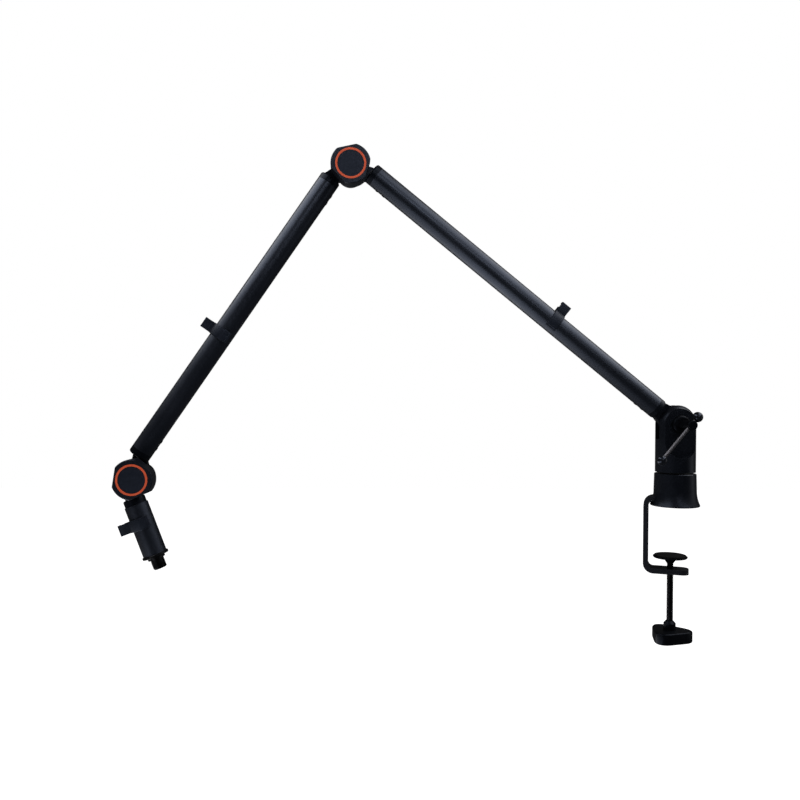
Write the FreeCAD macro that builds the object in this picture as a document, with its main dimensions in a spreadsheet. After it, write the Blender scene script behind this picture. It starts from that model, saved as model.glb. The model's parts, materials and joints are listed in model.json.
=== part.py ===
import FreeCAD
import Part
import Sketcher
import math
import os
import re

# Microphone boom arm: desk clamp, swivel post, two folding tubes and a tilting mic end.
# Frame: origin at the centre of the pedestal's desk face, +Z up, the arm reaching towards -X,
# every hinge axis along Y, the front of the arm (its knobs) towards -Y. Millimetres and degrees.

SIZES = {
    # running gaps and fits
    "face_gap": 0.05,
    "fit_gap": 0.05,
    "slide_gap": 0.3,
    # tubes and the way the arm stands
    "tube_od": 25.4,
    "tube_wall": 1.5,
    "lower_length": 498.4,
    "upper_length": 438.4,
    "lower_rise": 38.29,
    "upper_fall": 56.32,
    "mic_fall": 68.8,
    # half-lap hinge lugs at elbow and wrist
    "hinge_offset": 14.2,
    "lug_radius": 12.7,
    "lug_thickness": 9.0,
    "lug_neck": 16.8,
    "lug_step": 20.5,
    "lug_seam": 28.5,
    "lug_spigot": 30.0,
    "collar_round": 2.0,
    "lap_washer": 1.0,
    "lap_washer_radius": 12.4,
    # hinge bolts and their rear caps
    "bolt_radius": 4.0,
    "bolt_reach": 22.0,
    "bolt_head_across": 13.0,
    "bolt_head_height": 5.3,
    "rear_cap_radius": 15.9,
    "rear_cap_height": 9.0,
    "rear_cap_round": 3.0,
    # clamping knobs
    "knob_radius": 23.3,
    "knob_flat": 20.1,
    "knob_back": 13.4,
    "knob_face": 34.0,
    "knob_round": 1.3,
    "knob_hub_radius": 11.5,
    "knob_recess": 2.0,
    "ring_outer": 17.8,
    "ring_inner": 15.4,
    "ring_proud": 0.15,
    "cap_sink": 0.2,
    "insert_radius": 6.0,
    "insert_top": 24.0,
    "knob_washer": 1.2,
    "knob_washer_radius": 10.0,
    "elbow_knob_turn": 103.6,
    "wrist_knob_turn": 172.0,
    # screws that hold the lugs in the tubes
    "plug_screw_head": 2.5,
    "plug_screw_shank": 1.5,
    "plug_screw_length": 7.0,
    "plug_screw_seat": 2.2,
    "plug_screw_proud": 0.3,
    "plug_screw_inset": 10.0,
    "plug_screw_pitch": 10.0,
    # swivel post
    "shoulder_height": 100.2,
    "post_radius": 23.8,
    "post_flat": 14.4,
    "flat_drop": 34.0,
    "runout_slope": 0.5,
    "slot_drop": 18.5,
    "slot_floor": 5.0,
    # shoulder lug, washers and T-handle bolt
    "shoulder_lug_radius": 16.5,
    "shoulder_lug_thickness": 10.4,
    "shoulder_lug_neck": 20.0,
    "shoulder_step": 27.5,
    "shoulder_seam": 35.0,
    "shoulder_washer": 1.2,
    "shoulder_washer_radius": 13.0,
    "t_bolt_radius": 5.0,
    "t_bolt_tail": 1.6,
    "t_head_radius": 5.85,
    "t_head_reach": 44.0,
    "t_head_half": 6.2,
    "t_head_round": 1.8,
    "shoulder_collar_radius": 10.8,
    "shoulder_collar_height": 6.0,
    "shoulder_collar_round": 3.0,
    "shoulder_nut_across": 17.0,
    "shoulder_nut_height": 6.0,
    "shoulder_nut_sink": 4.0,
    # tommy bar
    "bar_radius": 2.15,
    "bar_span": 66.0,
    "bar_lean": 50.0,
    "ball_radius": 6.1,
    "bar_in_ball": 2.0,
    # pedestal
    "bell_height": 40.0,
    "bell_neck_radius": 24.6,
    "bell_waist_radius": 25.2,
    "bell_waist_height": 18.0,
    "bell_foot_radius": 29.2,
    "bell_flare": 42.0,
    "bell_edge": 1.2,
    "bell_clear": 0.4,
    "slot_lead": 2.0,
    "desk_pad_radius": 24.0,
    "desk_pad_thickness": 1.6,
    "spindle_radius": 8.0,
    "spindle_shy": 2.0,
    "spindle_thread_depth": 22.0,
    "groove_rise": 12.0,
    "groove_width": 4.4,
    "groove_depth": 1.0,
    "bush_wall": 2.0,
    "thrust_thickness": 1.8,
    "thrust_radius": 17.0,
    "grub_radius": 2.0,
    "grub_sink": 1.0,
    "spindle_bolt_radius": 4.0,
    "spindle_bolt_head": 6.5,
    "spindle_bolt_head_height": 4.0,
    "spindle_bolt_reach": 20.0,
    # clamp
    "base_turn": -22.0,
    "bracket_thickness": 6.0,
    "bracket_width": 24.0,
    "bracket_bend": 6.0,
    "bracket_leg_height": 6.0,
    "bracket_gap": 1.6,
    "bracket_jaw": 76.2,
    "bracket_leg_end": 14.0,
    "bracket_tip": 16.5,
    "bracket_tip_round": 9.0,
    "screw_offset": -5.0,
    "screw_radius": 4.0,
    "screw_pin_radius": 3.0,
    "screw_pin_length": 6.0,
    "screw_end": 156.4,
    "pad_top": 60.0,
    "pad_radius": 20.3,
    "pad_rim": 2.0,
    "pad_hub_radius": 7.2,
    "pad_hub_height": 8.5,
    "pad_facing_radius": 18.5,
    "pad_facing_thickness": 1.5,
    "clamp_knob_top": 151.4,
    "clamp_knob_height": 14.0,
    "clamp_knob_lobe": 18.2,
    "clamp_knob_corner": 8.0,
    "clamp_knob_edge": 2.0,
    "clamp_hub_radius": 8.0,
    "clamp_hub_height": 11.0,
    "clamp_knob_turn": 15.0,
    # mic end
    "sleeve_od": 27.4,
    "sleeve_end": 90.0,
    "stud_spigot": 16.0,
    "flange_radius": 15.2,
    "flange_height": 3.0,
    "stud_neck_radius": 10.0,
    "stud_neck_height": 3.0,
    "mic_thread_radius": 7.94,
    "mic_thread_length": 12.0,
    "mic_thread_lead": 0.9,
    "stud_screw_inset": 8.0,
    # cable clips
    "clip_width": 13.5,
    "clip_wall": 2.2,
    "clip_front_angle": -35.0,
    "clip_crown_angle": 120.0,
    "clip_rear_angle": 215.0,
    "clip_bead": 1.7,
    "loop_width": 10.5,
    "loop_radius": 4.2,
    "loop_wall": 2.4,
    "loop_reach": 8.1,
    "loop_mouth": 70.0,
    "lower_clip_place": 302.0,
    "upper_clip_place": 245.7,
    "mic_clip_place": 51.0,
}

doc = FreeCAD.newDocument("boom_arm")
sheet = doc.addObject("Spreadsheet::Sheet", "Sizes")
for row, (alias, value) in enumerate(SIZES.items(), start=1):
    sheet.set(f"A{row}", alias)
    sheet.set(f"B{row}", str(value))
    sheet.setAlias(f"B{row}", alias)
doc.recompute()

Vector = FreeCAD.Vector
pieces = []


def bound(text):
    """The expression text with the name of each size pointing at its cell."""
    return re.sub(r"[a-z][a-z_]*", lambda word: f"Sizes.{word[0]}" if word[0] in SIZES else word[0], text)


def size(text):
    """The present value of an expression."""
    return float(sheet.evalExpression(bound(text)))


# Sizes that follow from the driving ones
tube_r = "(tube_od / 2)"
sleeve_r = "(sleeve_od / 2)"
bore_r = "(tube_od / 2 - tube_wall)"
spigot_r = "(tube_od / 2 - tube_wall - fit_gap)"
lap = "(lap_washer / 2 + face_gap)"
lug_face = f"({lap} + lug_thickness)"
hub_face = f"({lug_face} + knob_washer + 2 * face_gap)"
recess_floor = "(knob_face - knob_recess)"
slot_width = "(shoulder_lug_thickness + 2 * shoulder_washer + 4 * face_gap)"
post_base = "(bell_height + thrust_thickness + 2 * face_gap)"
leg_top = "(bracket_leg_height + bracket_thickness)"
bush_r = "(spindle_radius + fit_gap + bush_wall)"
bush_top = "(shoulder_height - slot_drop - slot_floor)"
spindle_top = f"({bush_top} - spindle_shy)"
groove_height = "(bell_height + groove_rise)"
pad_plate = "(pad_top + pad_facing_thickness)"
pad_foot = f"({pad_plate} + pad_hub_height)"
screw_seat_r = f"({tube_r} - plug_screw_seat)"


# Drawing helpers

def new_body(name):
    body = doc.addObject("PartDesign::Body", name)
    body.Label = name
    return body


def new_sketch(body, plane_role, lift):
    """An empty sketch on one of the body's own planes, lifted along that plane's normal."""
    plane = next(item for item in body.Origin.OriginFeatures if item.Role == plane_role)
    sketch = body.newObject("Sketcher::SketchObject", f"{body.Name}_sketch")
    sketch.AttachmentSupport = [(plane, "")]
    sketch.MapMode = "FlatFace"
    sketch.setExpression("AttachmentOffset.Base.z", bound(lift))
    return sketch


def fix(sketch, kind, place, text):
    """Add one dimension to a sketch and bind it to the sheet."""
    index = sketch.addConstraint(Sketcher.Constraint(kind, *place, size(text)))
    sketch.setExpression(f"Constraints[{index}]", bound(text))


def fix_point(sketch, edge, end, x, y):
    fix(sketch, "DistanceX", (edge, end), x)
    fix(sketch, "DistanceY", (edge, end), y)


def arc_between(start, end, radius, clockwise):
    """The shorter arc from start to end, and which of its ends is the start."""
    chord = end - start
    rise = math.sqrt(max(radius ** 2 - chord.Length ** 2 / 4, 0))
    left = Vector(-chord.y, chord.x, 0).normalize()
    centre = (start + end) / 2 + left * (-rise if clockwise else rise)
    first, last = (end, start) if clockwise else (start, end)
    angles = [math.atan2(point.y - centre.y, point.x - centre.x) for point in (first, last)]
    circle = Part.Circle(centre, Vector(0, 0, 1), radius)
    return Part.ArcOfCircle(circle, angles[0], angles[1]), 2 if clockwise else 1


def draw_outline(sketch, corners):
    """A closed outline. A corner is (x, y), or (x, y, radius, way) where an arc runs to the next corner."""
    points = [Vector(size(corner[0]), size(corner[1]), 0) for corner in corners]
    first_edge = sketch.GeometryCount
    starts = []
    for index, corner in enumerate(corners):
        start = points[index]
        end = points[(index + 1) % len(points)]
        if len(corner) == 4:
            edge, start_end = arc_between(start, end, size(corner[2]), corner[3] == "clockwise")
        else:
            edge, start_end = Part.LineSegment(start, end), 1
        sketch.addGeometry(edge, False)
        starts.append(start_end)
    for index, corner in enumerate(corners):
        edge = first_edge + index
        after = (index + 1) % len(corners)
        sketch.addConstraint(
            Sketcher.Constraint("Coincident", edge, 3 - starts[index], first_edge + after, starts[after]))
        fix_point(sketch, edge, starts[index], corner[0], corner[1])
        if len(corner) == 4:
            fix(sketch, "Radius", (edge,), corner[2])


def draw_circles(sketch, circles):
    """Circles, each (x, y, radius)."""
    for x, y, radius in circles:
        centre = Vector(size(x), size(y), 0)
        edge = sketch.addGeometry(Part.Circle(centre, Vector(0, 0, 1), size(radius)), False)
        fix_point(sketch, edge, 3, x, y)
        fix(sketch, "Radius", (edge,), radius)


def revolve(body, corners):
    """A turned form: the outline, as (radius, height), spun about the body's Z axis."""
    sketch = new_sketch(body, "XZ_Plane", "0")
    draw_outline(sketch, corners)
    spin = body.newObject("PartDesign::Revolution", f"{body.Name}_turning")
    spin.Profile = sketch
    spin.ReferenceAxis = (sketch, ["V_Axis"])
    spin.Angle = 360
    return spin


def pad(body, sketch, length, both_ways=False):
    """Thicken a sketch along its normal, or evenly both ways."""
    solid = body.newObject("PartDesign::Pad", f"{body.Name}_pad")
    solid.Profile = sketch
    solid.SideType = "Symmetric" if both_ways else "One side"
    solid.setExpression("Length", bound(length))
    return solid


def cut(body, sketch, depth=None):
    """Cut a sketch evenly both ways: to a depth each way, or right through."""
    pocket = body.newObject("PartDesign::Pocket", f"{body.Name}_pocket")
    pocket.Profile = sketch
    pocket.SideType = "Symmetric"
    if depth is None:
        pocket.Type = "ThroughAll"
    else:
        pocket.setExpression("Length", bound(f"2 * ({depth})"))
    return pocket


def round_edges(body, feature, radius, chosen):
    """Fillet the edges of a feature for which chosen is true."""
    doc.recompute()
    names = [f"Edge{index}" for index, edge in enumerate(feature.Shape.Edges, start=1) if chosen(edge)]
    fillet = body.newObject("PartDesign::Fillet", f"{body.Name}_fillet")
    fillet.Base = (feature, names)
    fillet.setExpression("Radius", bound(radius))
    return fillet


def pad_circles(body, plane_role, lift, circles, length):
    sketch = new_sketch(body, plane_role, lift)
    draw_circles(sketch, circles)
    return pad(body, sketch, length)


def cut_circles(body, plane_role, lift, circles, depth=None):
    sketch = new_sketch(body, plane_role, lift)
    draw_circles(sketch, circles)
    return cut(body, sketch, depth)


def hexagon(across):
    """Corners of a hexagon about the origin, from its width across flats."""
    return [(f"{across} / sqrt(3) * cos({turn})", f"{across} / sqrt(3) * sin({turn})")
            for turn in range(0, 360, 60)]


def polar(radius, angle, centre_y="0"):
    return f"{radius} * cos({angle})", f"{centre_y} + {radius} * sin({angle})"


def turned(name, corners):
    body = new_body(name)
    revolve(body, corners)
    return body


def washer(name, inner, outer, bottom, top):
    return turned(name, [(inner, bottom), (outer, bottom), (outer, top), (inner, top)])


def place(piece, placement):
    piece.Placement = placement
    pieces.append(piece)


def group(name, members):
    """Separate solids of one kind, kept as one node."""
    compound = doc.addObject("Part::Compound", name)
    compound.Label = name
    compound.Links = members
    pieces.append(compound)


# Where things stand

def frame(origin, x_axis, z_axis):
    """Placement of a local frame given by its X and Z axes."""
    return FreeCAD.Placement(origin, FreeCAD.Rotation(x_axis, z_axis.cross(x_axis), z_axis, "XZY"))


def in_arm_plane(angle):
    """Unit vector in the arm's plane, at an angle above +X."""
    return Vector(math.cos(math.radians(angle)), 0, math.sin(math.radians(angle)))


FRONT = Vector(0, -1, 0)
X_AXIS = Vector(1, 0, 0)
offset = size("hinge_offset")

lower_way = in_arm_plane(180 - size("lower_rise"))
lower_out = in_arm_plane(90 - size("lower_rise"))
upper_way = in_arm_plane(180 + size("upper_fall"))
upper_out = in_arm_plane(90 + size("upper_fall"))
mic_way = in_arm_plane(-size("mic_fall"))
mic_out = in_arm_plane(270 - size("mic_fall"))

shoulder = Vector(0, 0, size("shoulder_height"))
elbow = shoulder + lower_way * size("lower_length") - lower_out * offset
wrist = elbow + upper_way * size("upper_length")

base_frame = FreeCAD.Placement(Vector(), FreeCAD.Rotation(Vector(0, 0, 1), size("base_turn")))
post_frame = FreeCAD.Placement()
shoulder_axis = frame(shoulder, X_AXIS, FRONT)
lower_frame = frame(shoulder, lower_way, lower_out)
lower_elbow_frame = frame(elbow, -lower_way, lower_out)
upper_frame = frame(elbow, upper_way, upper_out)
upper_wrist_frame = frame(wrist, -upper_way, upper_out)
mic_frame = frame(wrist, mic_way, mic_out)


def moved(placement, x=0.0, y=0.0, z=0.0):
    """The same frame with its origin moved along its own axes."""
    return placement.multiply(FreeCAD.Placement(Vector(x, y, z), FreeCAD.Rotation()))


def turned_about_z(placement, angle):
    return placement.multiply(FreeCAD.Placement(Vector(), FreeCAD.Rotation(Vector(0, 0, 1), angle)))


# Clamp bracket: a steel strip bent into a C, its upper leg in the bell, its lower leg holding the screw
bracket = new_body("clamp_bracket")
spine_in = "(-bell_foot_radius - bracket_gap)"
spine_out = f"({spine_in} - bracket_thickness)"
bend_out = "(bracket_bend + bracket_thickness)"
leg_low = "bracket_leg_height"
jaw_high = "-bracket_jaw"
jaw_low = "(-bracket_jaw - bracket_thickness)"
strip = new_sketch(bracket, "XZ_Plane", "0")
draw_outline(strip, [
    ("bracket_leg_end", leg_low),
    ("bracket_leg_end", leg_top),
    (f"{spine_out} + {bend_out}", leg_top, bend_out, "counter"),
    (spine_out, f"{leg_top} - {bend_out}"),
    (spine_out, f"{jaw_low} + {bend_out}", bend_out, "counter"),
    (f"{spine_out} + {bend_out}", jaw_low),
    ("bracket_tip", jaw_low),
    ("bracket_tip", jaw_high),
    (f"{spine_in} + bracket_bend", jaw_high, "bracket_bend", "clockwise"),
    (spine_in, f"{jaw_high} + bracket_bend"),
    (spine_in, f"{leg_low} - bracket_bend", "bracket_bend", "clockwise"),
    (f"{spine_in} + bracket_bend", leg_low),
])
strip_pad = pad(bracket, strip, "bracket_width", both_ways=True)
tip = size("bracket_tip")
round_edges(bracket, strip_pad, "bracket_tip_round", lambda edge: (
    abs(edge.CenterOfMass.x - tip) < 0.01 and edge.BoundBox.ZLength > 1))
cut_circles(bracket, "XY_Plane", leg_low, [("0", "0", "spindle_bolt_radius + fit_gap")],
            "bracket_thickness + bracket_bend")
cut_circles(bracket, "XY_Plane", jaw_low, [("screw_offset", "0", "screw_radius + fit_gap")],
            "bracket_thickness + bracket_bend")
place(bracket, base_frame)

# Pedestal bell: a flared casting, recessed for its desk pad, bored for the spindle, slotted for the bracket
bell = new_body("pedestal_bell")
bell_bore = "(spindle_radius + fit_gap)"
pad_pocket = "(desk_pad_radius + fit_gap)"
edge_top = "(bell_clear + bell_edge)"
revolve(bell, [
    (bell_bore, "desk_pad_thickness"),
    (pad_pocket, "desk_pad_thickness"),
    (pad_pocket, "bell_clear"),
    ("bell_foot_radius - bell_edge", "bell_clear", "bell_edge", "counter"),
    ("bell_foot_radius", edge_top, "bell_flare", "clockwise"),
    ("bell_waist_radius", "bell_waist_height"),
    ("bell_neck_radius", "bell_height - bell_edge / 2"),
    ("bell_neck_radius - bell_edge / 2", "bell_height"),
    (bell_bore, "bell_height"),
])
leg_slot = new_sketch(bell, "XZ_Plane", "0")
slot_low = "(bracket_leg_height - fit_gap)"
slot_high = f"({leg_top} + fit_gap)"
draw_outline(leg_slot, [
    (spine_in, f"{slot_low} - slot_lead"),
    (f"{spine_in} + bracket_bend", slot_low),
    ("bracket_leg_end + fit_gap", slot_low),
    ("bracket_leg_end + fit_gap", slot_high),
    (spine_in, slot_high),
])
cut(bell, leg_slot, "bracket_width / 2 + fit_gap")
place(bell, base_frame)

# Desk pad: rubber disc let into the bell's underside
place(turned("desk_pad", [
    ("0", "0"),
    ("desk_pad_radius", "0"),
    ("desk_pad_radius", "desk_pad_thickness"),
    ("0", "desk_pad_thickness"),
]), base_frame)

# Swivel spindle: steel pin standing on the bracket's leg, grooved for the grub screw, threaded from below
groove_r = "(spindle_radius - groove_depth)"
thread_r = "(spindle_bolt_radius + fit_gap)"
thread_top = f"({leg_top} + spindle_thread_depth)"
place(turned("swivel_spindle", [
    (thread_r, leg_top),
    ("spindle_radius", leg_top),
    ("spindle_radius", f"{groove_height} - groove_width / 2"),
    (groove_r, f"{groove_height} - groove_width / 2"),
    (groove_r, f"{groove_height} + groove_width / 2"),
    ("spindle_radius", f"{groove_height} + groove_width / 2"),
    ("spindle_radius", f"{spindle_top} - groove_depth"),
    ("spindle_radius - groove_depth", spindle_top),
    ("0", spindle_top),
    ("0", thread_top),
    (thread_r, thread_top),
]), base_frame)

# Spindle bolt: from below, through the bracket's leg into the spindle
head_low = "(bracket_leg_height - spindle_bolt_head_height)"
place(turned("spindle_bolt", [
    ("0", head_low),
    ("spindle_bolt_head", head_low),
    ("spindle_bolt_head", "bracket_leg_height"),
    ("spindle_bolt_radius", "bracket_leg_height"),
    ("spindle_bolt_radius", f"{leg_top} + spindle_bolt_reach"),
    ("0", f"{leg_top} + spindle_bolt_reach"),
]), base_frame)

# Thrust washer: carries the post on top of the bell
place(washer("thrust_washer", "spindle_radius + fit_gap", "thrust_radius",
             "bell_height", "bell_height + thrust_thickness"), base_frame)

# Clamp screw with its pressure pad, facing and three-lobed knob, all about the screw's axis
screw_frame = moved(base_frame, x=size("screw_offset"))
pin_socket = "(screw_pin_radius + fit_gap)"
pin_top = f"(-{pad_foot} + screw_pin_length)"
place(turned("pressure_pad", [
    (pin_socket, f"-{pad_foot}"),
    ("screw_radius + fit_gap", f"-{pad_foot}"),
    ("pad_hub_radius", f"-{pad_plate} - pad_rim * 2"),
    ("pad_radius - pad_rim / 2", f"-{pad_plate} - pad_rim"),
    ("pad_radius", f"-{pad_plate} - pad_rim / 2"),
    ("pad_radius", f"-{pad_plate}"),
    ("0", f"-{pad_plate}"),
    ("0", f"{pin_top} + slide_gap"),
    (pin_socket, f"{pin_top} + slide_gap"),
]), screw_frame)
place(turned("pad_facing", [
    ("0", f"-{pad_plate}"),
    ("pad_facing_radius", f"-{pad_plate}"),
    ("pad_facing_radius", "-pad_top"),
    ("0", "-pad_top"),
]), screw_frame)
place(turned("clamp_screw", [
    ("0", "-screw_end"),
    ("screw_radius", "-screw_end"),
    ("screw_radius", f"-{pad_foot} - face_gap"),
    ("screw_pin_radius", f"-{pad_foot} - face_gap"),
    ("screw_pin_radius", pin_top),
    ("0", pin_top),
]), screw_frame)

clamp_knob = new_body("clamp_knob")
lobes = new_sketch(clamp_knob, "XY_Plane", "-clamp_knob_top - clamp_knob_height")
corners = []
for turn in (0, 120, 240):
    centre_x = f"clamp_knob_lobe * cos({turn})"
    centre_y = f"clamp_knob_lobe * sin({turn})"
    for side in (-60, 60):
        corner = (f"{centre_x} + clamp_knob_corner * cos({turn + side})",
                  f"{centre_y} + clamp_knob_corner * sin({turn + side})")
        corners.append(corner + ("clamp_knob_corner", "counter") if side < 0 else corner)
draw_outline(lobes, corners)
knob_pad = pad(clamp_knob, lobes, "clamp_knob_height")
knob_ends = (-size("clamp_knob_top"), -size("clamp_knob_top + clamp_knob_height"))
round_edges(clamp_knob, knob_pad, "clamp_knob_edge", lambda edge: (
    edge.BoundBox.ZLength < 0.01 and min(abs(edge.CenterOfMass.z - end) for end in knob_ends) < 0.01))
pad_circles(clamp_knob, "XY_Plane", "-clamp_knob_top - clamp_knob_edge",
            [("0", "0", "clamp_hub_radius")], "clamp_hub_height + clamp_knob_edge")
hub_top = "(-clamp_knob_top + clamp_hub_height)"
cut_circles(clamp_knob, "XY_Plane", hub_top, [("0", "0", "screw_radius + fit_gap")], f"{hub_top} + screw_end")
place(clamp_knob, turned_about_z(screw_frame, size("clamp_knob_turn")))

# Swivel post: a turned column with a ball top, two milled flats with sloping run-outs, and a slot for the lug
post = new_body("swivel_post")
post_top = "(shoulder_height + post_radius)"
revolve(post, [
    ("0", post_base),
    ("post_radius", post_base),
    ("post_radius", "shoulder_height", "post_radius", "counter"),
    ("0", post_top),
])
runout_high = "(shoulder_height - flat_drop)"
runout_low = f"({runout_high} - (post_radius + 1 - post_flat) * runout_slope)"
for side in ("-1", "1"):
    flat = new_sketch(post, "YZ_Plane", "0")
    draw_outline(flat, [
        (f"{side} * post_flat", runout_high),
        (f"{side} * (post_radius + 1)", runout_low),
        (f"{side} * (post_radius + 1)", f"{post_top} + 1"),
        (f"{side} * post_flat", f"{post_top} + 1"),
    ])
    cut(post, flat)
slot = new_sketch(post, "YZ_Plane", "0")
draw_outline(slot, [
    (f"-{slot_width} / 2", "shoulder_height - slot_drop"),
    (f"{slot_width} / 2", "shoulder_height - slot_drop"),
    (f"{slot_width} / 2", f"{post_top} + 1"),
    (f"-{slot_width} / 2", f"{post_top} + 1"),
])
cut(post, slot)
cut_circles(post, "XZ_Plane", "0", [("0", "shoulder_height", "t_bolt_radius + fit_gap")])
nut_pocket = new_sketch(post, "XZ_Plane", "-post_flat")
draw_outline(nut_pocket, [(x, f"shoulder_height + {y}")
                          for x, y in hexagon("(shoulder_nut_across + 2 * fit_gap)")])
cut(post, nut_pocket, "shoulder_nut_sink")
cut_circles(post, "XY_Plane", post_base, [("0", "0", f"{bush_r} + fit_gap")], f"{bush_top} - {post_base}")
cut_circles(post, "XZ_Plane", "-post_radius", [("0", groove_height, "grub_radius + fit_gap")],
            "post_radius - spindle_radius")
place(post, post_frame)

# Spindle bush: bearing sleeve in the post, drilled for the grub screw
bush = new_body("spindle_bush")
revolve(bush, [
    ("spindle_radius + fit_gap", post_base),
    (bush_r, post_base),
    (bush_r, bush_top),
    ("spindle_radius + fit_gap", bush_top),
])
cut_circles(bush, "XZ_Plane", f"-{bush_r}", [("0", groove_height, "grub_radius + fit_gap")], bush_r)
place(bush, post_frame)

# Retaining screw: a grub screw from the rear of the post into the spindle's groove
grub_frame = frame(Vector(0, 0, size(groove_height)), X_AXIS, -FRONT)
grub_tip = f"({groove_r} + groove_depth / 4)"
place(turned("spindle_retaining_screw", [
    ("0", grub_tip),
    ("grub_radius", grub_tip),
    ("grub_radius", "post_radius - grub_sink"),
    ("0", "post_radius - grub_sink"),
]), grub_frame)

# Shoulder nut: let into the rear flat
nut_front = "(-post_flat + shoulder_nut_sink)"
nut = new_body("shoulder_nut")
nut_sketch = new_sketch(nut, "XY_Plane", f"{nut_front} - shoulder_nut_height")
draw_outline(nut_sketch, hexagon("shoulder_nut_across"))
draw_circles(nut_sketch, [("0", "0", "t_bolt_radius + fit_gap")])
pad(nut, nut_sketch, "shoulder_nut_height")
place(nut, shoulder_axis)

# T-handle bolt: shaft through post and lug, its head cross-drilled for the tommy bar
t_bolt = new_body("shoulder_t_bolt")
tail = f"({nut_front} - shoulder_nut_height - t_bolt_tail)"
head_back = "(t_head_reach - t_head_half)"
head_front = "(t_head_reach + t_head_half)"
revolve(t_bolt, [
    ("0", tail),
    ("t_bolt_radius", tail),
    ("t_bolt_radius", head_back),
    ("t_head_radius", head_back),
    ("t_head_radius", f"{head_front} - t_head_round", "t_head_round", "counter"),
    ("t_head_radius - t_head_round", head_front),
    ("0", head_front),
])
cut_circles(t_bolt, "YZ_Plane", "0", [("0", "t_head_reach", "bar_radius + fit_gap")])
t_bolt_frame = turned_about_z(shoulder_axis, size("bar_lean"))
place(t_bolt, t_bolt_frame)

# Shoulder collar: domed pressure collar under the T-handle, against the front flat
collar_back = "(post_flat + face_gap)"
collar_front = f"({collar_back} + shoulder_collar_height)"
place(turned("shoulder_collar", [
    ("t_bolt_radius + fit_gap", collar_back),
    ("shoulder_collar_radius", collar_back),
    ("shoulder_collar_radius", f"{collar_front} - shoulder_collar_round", "shoulder_collar_round", "counter"),
    ("shoulder_collar_radius - shoulder_collar_round", collar_front),
    ("t_bolt_radius + fit_gap", collar_front),
]), shoulder_axis)

# Tommy bar: slides through the bolt's head, a ball pressed on each end
short_end = "(t_head_radius + ball_radius + slide_gap)"
long_end = f"(bar_span - {short_end})"
bar_frame = frame(t_bolt_frame.multVec(Vector(0, 0, size("t_head_reach"))),
                  -FRONT, in_arm_plane(size("bar_lean")))
place(turned("tommy_bar", [
    ("0", f"-{long_end} - bar_in_ball"),
    ("bar_radius", f"-{long_end} - bar_in_ball"),
    ("bar_radius", f"{short_end} + bar_in_ball"),
    ("0", f"{short_end} + bar_in_ball"),
]), bar_frame)
ball_bore = "(bar_radius + fit_gap)"
balls = []
for along, half_turn in ((size(short_end), 0), (-size(long_end), 180)):
    ball = turned(f"tommy_ball_{half_turn}", [
        ("0", "bar_in_ball + fit_gap"),
        (ball_bore, "bar_in_ball + fit_gap"),
        (ball_bore, f"-sqrt(ball_radius ^ 2 - {ball_bore} ^ 2)", "ball_radius", "counter"),
        ("ball_radius", "0", "ball_radius", "counter"),
        ("0", "ball_radius"),
    ])
    ball.Placement = moved(bar_frame, z=along).multiply(
        FreeCAD.Placement(Vector(), FreeCAD.Rotation(X_AXIS, half_turn)))
    balls.append(ball)
group("tommy_balls", balls)


# Lugs: a round collar and a spigot that fills the tube, with a flat tongue rounded about the pivot

def lug(name, tongue_radius, neck, thickness, tongue_middle, axis_height, step, seam, pivot_radius):
    body = new_body(name)
    collar = pad_circles(body, "YZ_Plane", step, [("0", axis_height, tube_r)], f"{seam} - {step}")
    step_at = size(step)
    round_edges(body, collar, "collar_round", lambda edge: abs(edge.CenterOfMass.x - step_at) < 0.01)
    pad_circles(body, "YZ_Plane", seam, [("0", axis_height, spigot_r)], "lug_spigot")

    tongue = new_sketch(body, "XZ_Plane", f"-({tongue_middle})")
    root = f"({step} + collar_round)"
    high = f"({axis_height} + {neck} / 2)"
    low = f"({axis_height} - {neck} / 2)"
    radius = size(tongue_radius)
    upper = Vector(size(root), size(high), 0)
    lower = Vector(size(root), size(low), 0)
    round_end = Part.ArcOfCircle(Part.Circle(Vector(), Vector(0, 0, 1), radius), math.pi * 0.6, math.pi * 1.6)
    tongue.addGeometry(Part.LineSegment(upper, round_end.StartPoint), False)
    tongue.addGeometry(round_end, False)
    tongue.addGeometry(Part.LineSegment(round_end.EndPoint, lower), False)
    tongue.addGeometry(Part.LineSegment(lower, upper), False)
    tongue.addConstraint(Sketcher.Constraint("Coincident", 1, 3, -1, 1))
    tongue.addConstraint(Sketcher.Constraint("Tangent", 0, 2, 1, 1))
    tongue.addConstraint(Sketcher.Constraint("Tangent", 1, 2, 2, 1))
    tongue.addConstraint(Sketcher.Constraint("Coincident", 2, 2, 3, 1))
    tongue.addConstraint(Sketcher.Constraint("Coincident", 3, 2, 0, 1))
    fix(tongue, "Radius", (1,), tongue_radius)
    fix_point(tongue, 0, 1, root, high)
    fix_point(tongue, 3, 1, root, low)
    pad(body, tongue, thickness, both_ways=True)
    cut_circles(body, "XZ_Plane", "0", [("0", "0", f"{pivot_radius} + fit_gap")])
    return body


def drill_for_screws(body, axis_height, places):
    """Seats and threaded holes for plug screws, on the inner side of the tube."""
    surface = f"({axis_height} - {tube_r})"
    cut_circles(body, "XY_Plane", surface,
                [(along, "0", "plug_screw_head + fit_gap") for along in places], "plug_screw_seat")
    cut_circles(body, "XY_Plane", surface,
                [(along, "0", "plug_screw_shank + fit_gap") for along in places],
                "plug_screw_seat + plug_screw_length")


def tube(name, outer_r, axis_height, start, end, screw_places):
    body = new_body(name)
    pad_circles(body, "YZ_Plane", start, [("0", axis_height, outer_r), ("0", axis_height, bore_r)],
                f"{end} - {start}")
    cut_circles(body, "XY_Plane", f"{axis_height} - {outer_r}",
                [(along, "0", "plug_screw_head + fit_gap") for along in screw_places],
                f"{outer_r} - {bore_r} + tube_wall")
    return body


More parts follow.
